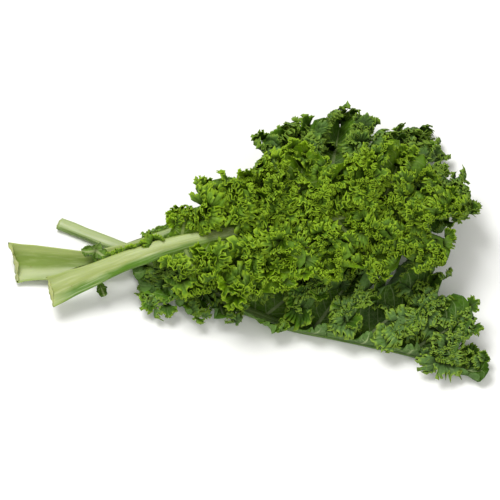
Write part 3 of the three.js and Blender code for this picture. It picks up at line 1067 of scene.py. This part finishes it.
def leaf_veins(material, margin):
    """How much of a vein each place is, from 0 to 1."""
    add = partial(add_node, material)
    reach = add("Attribute", output="Fac", attribute_name="vein_share")
    depth = add("Attribute", output="Fac", attribute_name="vein_depth")
    pattern = add("TexCoord", output="UV")
    across = add("Math", [add("SeparateXYZ", [pattern], "X")], operation="ABSOLUTE")
    width = add("Math", [reach, -vein_taper, vein_width], operation="MULTIPLY_ADD")
    main_vein = add("MapRange", [add("Math", [across, width], operation="DIVIDE"), 1.2, 0.6])
    slant = add("Math", [across, side_vein_slant], operation="MULTIPLY")
    slant = add("Math", [add("SeparateXYZ", [pattern], "Y"), slant], operation="SUBTRACT")
    rung = add("Math", [slant, side_vein_rate], operation="MULTIPLY")
    side_vein = add("MapRange", [add("Math", [rung, 0.5], operation="PINGPONG"), 0.07, 0.02])
    net = add("TexVoronoi", {"Vector": pattern, "Scale": net_scale}, "Distance", feature="DISTANCE_TO_EDGE")
    net = add("Math", [add("MapRange", [net, 0.1, 0.02]), net_strength], operation="MULTIPLY")
    veins = add("Math", [side_vein, net], operation="MAXIMUM")
    for share in (fine_strength, add("MapRange", [margin, 0.95, 0.6])):
        veins = add("Math", [veins, share], operation="MULTIPLY")
    veins = add("Math", [veins, main_vein], operation="MAXIMUM")
    return add("Math", [veins, depth], operation="MULTIPLY")


print("a side vein every", round(100 / side_vein_rate), "mm")

# %% [markdown]
# The cuticle is laid over the flesh in coats: wax on the underside, then veins, then the rim, which is the
# thinnest part of every curl and a little paler, with a painted highlight laid on it. Light hardly gets in
# between the curls, so painted shade darkens the colour towards their roots and near the midrib. A fine grain
# breaks up the shine, as the cells of the skin do.

# %% Leaf cuticle
leaf_roughness = 0.5
grain_scale = 420  # noise cells in a metre, so a grain of 2.4 mm: coarser than real cells, to show
wax_share, vein_share, rim_highlight_share = 0.6, 0.8, 0.75
rim_highlight_start = 0.92
root_shade = [(0, "#3c3c3c"), (1, "#ffffff")]
grain_shade = [(0.35, "#b4b4b4"), (0.65, "#ffffff")]


def leaf_cuticle(name, dark, flesh, light, old, wax, vein, rim):
    material, shader = new_material(name)
    add = partial(add_node, material)
    place = add("TexCoord", output="Object")
    margin = add("Attribute", output="Fac", attribute_name="margin")
    under = add("Attribute", output="Fac", attribute_name="underside")
    inner = add("Attribute", output="Fac", attribute_name="painted_root_shade")
    colour, patches = leaf_flesh(material, place, dark, flesh, light, old)
    veins = leaf_veins(material, margin)
    # the rim coat is partly the rim's own paler tone and partly a painted highlight
    rim_and_highlight = add("MapRange", [margin, rim_highlight_start, 1])
    coats = ((under, wax_share, wax), (veins, vein_share, vein), (rim_and_highlight, rim_highlight_share, rim))
    for where, strength, code in coats:
        share = add("Math", [where, strength], operation="MULTIPLY")
        colour = add("Mix", {0: share, 6: colour, 7: linear(code)}, 2, data_type="RGBA")
    grain = add("TexNoise", {"Vector": place, "Scale": grain_scale, "Detail": 3}, "Fac")
    # painted shade: the colour darkens towards the roots of curls and near the midrib
    depth = add("MapRange", [inner, 0, 0.75])
    for where, stops, share in ((depth, root_shade, 1), (grain, grain_shade, 0.5)):
        shade = add("ValToRGB", [where], stops=stops)
        colour = add("Mix", {0: share, 6: colour, 7: shade}, 2, data_type="RGBA", blend_type="MULTIPLY")
    height = add("Math", [veins, -0.6, grain], operation="MULTIPLY_ADD")
    bump = add("Bump", {"Strength": 0.35, "Distance": 0.0006, "Height": height})
    rough = add("MapRange", [patches, 0.2, 0.8])
    rough = add("Math", [rough, 0.15, leaf_roughness], operation="MULTIPLY_ADD")
    for socket, source in (("Base Color", colour), ("Normal", bump), ("Roughness", rough)):
        material.node_tree.links.new(source, shader.inputs[socket])
    shader.inputs["IOR"].default_value = fresh_tissue_ior
    shader.inputs["Specular IOR Level"].default_value = 0.2
    return material


# %% [markdown]
# A young leaf is a bright yellow green, and an old one a deep green. The colours of each leaf are the dark,
# middle and light flesh, the old flesh at the tip, the wax of the underside, the veins and the rim, whose
# colour is partly a painted highlight.

# %% Cuticles on the blades
# the last colour of each leaf is its rim, partly a painted highlight
cuticle_colours = {
    "top_leaf": ("young_leaf_cuticle", "#3d5e00 #5c8200 #7aa000 #47680c #64882a #a3b868 #a2c42a"),
    "back_leaf": ("dark_leaf_cuticle", "#34580a #4f780c #668f18 #385a08 #5c7c3c #96aa6c #94b43e"),
    "low_leaf": ("leaf_cuticle", "#34580a #507a0c #6a9618 #2c4c04 #648448 #a8bc80 #98b83a"),
    "leaflet": ("leaflet_cuticle", "#45690c #5a8020 #76983a #45690c #7a9060 #aab87c #8fb034"),
}
blade_pieces.append(("leaflet", small_piece))
cuticles = {}
for leaf_name, (name, codes) in cuticle_colours.items():
    cuticles[leaf_name] = leaf_cuticle(name, *codes.split())
for leaf_name, piece in blade_pieces:
    piece.data.materials.append(cuticles[leaf_name])
print("cuticles on", len(blade_pieces), "pieces")

# %% [markdown]
# The stems, which botanists call petioles, are watery and firm with a smooth skin. Their upper face is pale,
# in bands that run along them, and their lower side is green. Up in the blade they turn green all round. Fine
# strands run along them under the skin, and their pale colour partly paints highlights too. Old rubs have
# dried to tan scars. The cut end shows paler, drying flesh. A little light gets into the flesh, so it has
# some subsurface scattering.

# %% Petiole skin
strand_scale = (60, 3, 1)  # noise cells in a decimetre, so strands 1.7 mm wide and 33 mm long
scar_scale = (60, 14, 1)  # scars 1.7 mm wide and 7 mm long
patch_scale_of_stems = 70  # noise cells in a metre, so patches about 14 mm wide
band_wander = 0.12
cut_end_share = 0.07
midrib_from, midrib_to = 0.35, 0.65


def petiole_skin(name, bands, green, midrib, strand_and_highlight, scar, flesh, turn_over):
    material, shader = new_material(name)
    add = partial(add_node, material)
    layers = ("across", "share", "upward", "cut")
    across, share, upward, cut = [add("Attribute", output="Fac", attribute_name=layer) for layer in layers]
    pattern = add("TexCoord", output="UV")
    strands = add("Mapping", {"Vector": pattern, "Scale": strand_scale})
    strands = add("TexNoise", {"Vector": strands, "Scale": 1, "Detail": 4}, "Fac")
    scars = add("Mapping", {"Vector": pattern, "Scale": scar_scale})
    scars = add("TexNoise", {"Vector": scars, "Scale": 1, "Detail": 5}, "Fac")
    patches = add("TexCoord", output="Object")
    patches = add("TexNoise", {"Vector": patches, "Scale": patch_scale_of_stems, "Detail": 3}, "Fac")
    over = add("Math", [patches, 0.5, upward], operation="MULTIPLY_ADD")
    over = add("MapRange", [over, turn_over, turn_over + 0.45])
    over = add("Math", [over, add("MapRange", [share, cut_end_share, 0])], operation="MAXIMUM")
    pale = add("Math", [strands, band_wander, across], operation="MULTIPLY_ADD")
    pale = add("ValToRGB", [add("Math", [pale, band_wander / 2], operation="SUBTRACT")], stops=bands)
    skin = add("Mix", {0: over, 6: linear(green), 7: pale}, 2, data_type="RGBA")
    coats = (
        (share, midrib_from, midrib_to, 1, midrib),
        # pale strands: real fine lines, and partly a painted highlight
        (strands, 0.5, 0.75, 0.5, strand_and_highlight),
        (scars, 0.68, 0.74, 0.6, scar),
        (cut, 0, 1, 1, flesh),
    )
    for where, low, high, strength, code in coats:
        amount = add("Math", [add("MapRange", [where, low, high]), strength], operation="MULTIPLY")
        skin = add("Mix", {0: amount, 6: skin, 7: linear(code)}, 2, data_type="RGBA")
    height = add("Math", [scars, 0.4, strands], operation="MULTIPLY_ADD")
    bump = add("Bump", {"Strength": 0.35, "Distance": 0.0005, "Height": height})
    for socket, source in (("Base Color", skin), ("Normal", bump)):
        material.node_tree.links.new(source, shader.inputs[socket])
    shader.inputs["Roughness"].default_value = 0.42
    shader.inputs["IOR"].default_value = fresh_tissue_ior
    shader.inputs["Subsurface Weight"].default_value = 0.2
    shader.inputs["Subsurface Radius"].default_value = (0.7, 0.75, 0.15)
    shader.inputs["Subsurface Scale"].default_value = 0.004
    return material


# %% [markdown]
# The colours of each stem are the bands of its pale face from its right edge to its left, its green lower
# side, the midrib up in the blade, the strands, which partly paint highlights, the scars and the cut flesh.
# The last number is how far up the skin has to face to be pale.

# %% Skins on the stems
# the fourth colour of each stem, its strands, is partly a painted highlight
petioles = {
    "top_leaf": petiole_skin(
        "young_petiole_skin",
        [(0, "#8ea24a"), (0.2, "#a0ac6c"), (0.5, "#929f58"), (0.75, "#a2ae70"), (1, "#8a9a4c")],
        "#4c7400", "#8aa04a", "#c0c896", "#7d6a34", "#a9b070", 0.25,
    ),
    "back_leaf": petiole_skin(
        "broad_petiole_skin",
        [
            (0.02, "#7c9436"), (0.08, "#a3ae76"), (0.3, "#a0ac70"),
            (0.42, "#768c38"), (0.72, "#748a38"), (0.86, "#9aa960"),
        ],
        "#8a9c54", "#6e8840", "#a4b074", "#7e6a38", "#a4aa70", 0.3,
    ),
    "low_leaf": petiole_skin(
        "slim_petiole_skin",
        [(0, "#7f9850"), (0.3, "#a2ae7c"), (0.7, "#9cab74"), (1, "#8c9d5c")],
        "#5f7c28", "#4c6e1c", "#c0c8a0", "#84703c", "#a9b078", 0.1,
    ),
}
for leaf_name, piece in stem_pieces.items():
    piece.data.materials.append(petioles[leaf_name])
print("skins on", len(stem_pieces), "stems")

# %% [markdown]
# ## Camera, floor and light
#
# The bunch is looked at from 60 degrees above the table with a long lens, so that it hardly tapers. The
# picture is 500 pixels wide, and one pixel is 0.82 mm at the bunch.

# %% Camera
picture_pixels = 500
pixel_mm = 0.82
looking_down = math.radians(60)
camera_distance = 4.0
picture_middle_mm = np.array([0, -26.8, 30])

camera_data = bpy.data.cameras.new("camera")
camera = bpy.data.objects.new("camera", camera_data)
bpy.context.scene.collection.objects.link(camera)
bpy.context.scene.camera = camera
target = (picture_middle_mm + to_model) * MM
camera.location = target + camera_distance * np.array([0, -math.cos(looking_down), math.sin(looking_down)])
camera.rotation_euler = (math.pi / 2 - looking_down, 0, 0)
camera_data.sensor_width = 36
camera_data.lens = camera_data.sensor_width * camera_distance / (picture_pixels * pixel_mm * MM)
camera_data.clip_end = 50
print("lens", round(camera_data.lens), "mm")

# %% [markdown]
# The floor is plain and pale. A large soft light stands above and behind, a wide weaker one in front, and
# the surroundings light the rest, as in a small product studio.

# %% Floor and lights
bpy.ops.object.select_all(action="DESELECT")
bpy.ops.mesh.primitive_plane_add(size=30, location=(0, 0, -0.0005))
floor = bpy.context.object
floor.name = "studio_floor"
floor_material, floor_shader = new_material("floor_paper")
floor_shader.inputs["Base Color"].default_value = linear("#f4f4f2")
floor_shader.inputs["Roughness"].default_value = 0.9
floor.data.materials.append(floor_material)


def add_light(name, place, size, power):
    light = bpy.data.lights.new(name, "AREA")
    light.size = size
    light.energy = power
    lamp = bpy.data.objects.new(name, light)
    bpy.context.scene.collection.objects.link(lamp)
    lamp.location = place
    aim = np.array(place) / np.linalg.norm(place)
    lamp.rotation_euler = (math.acos(aim[2]), 0, math.atan2(aim[0], -aim[1]))


add_light("key_light", (-0.5, 0.5, 1.6), 0.9, 26)
add_light("front_light", (0.6, -1.4, 1.2), 1.6, 12)
world = bpy.data.worlds.new("studio")
bpy.context.scene.world = world
world.use_nodes = True
surround = world.node_tree.nodes["Background"]
surround.inputs["Color"].default_value = linear("#fbfaf6")
surround.inputs["Strength"].default_value = 0.55
bpy.context.scene.view_settings.view_transform = "Standard"
print("two lights and a pale surround")
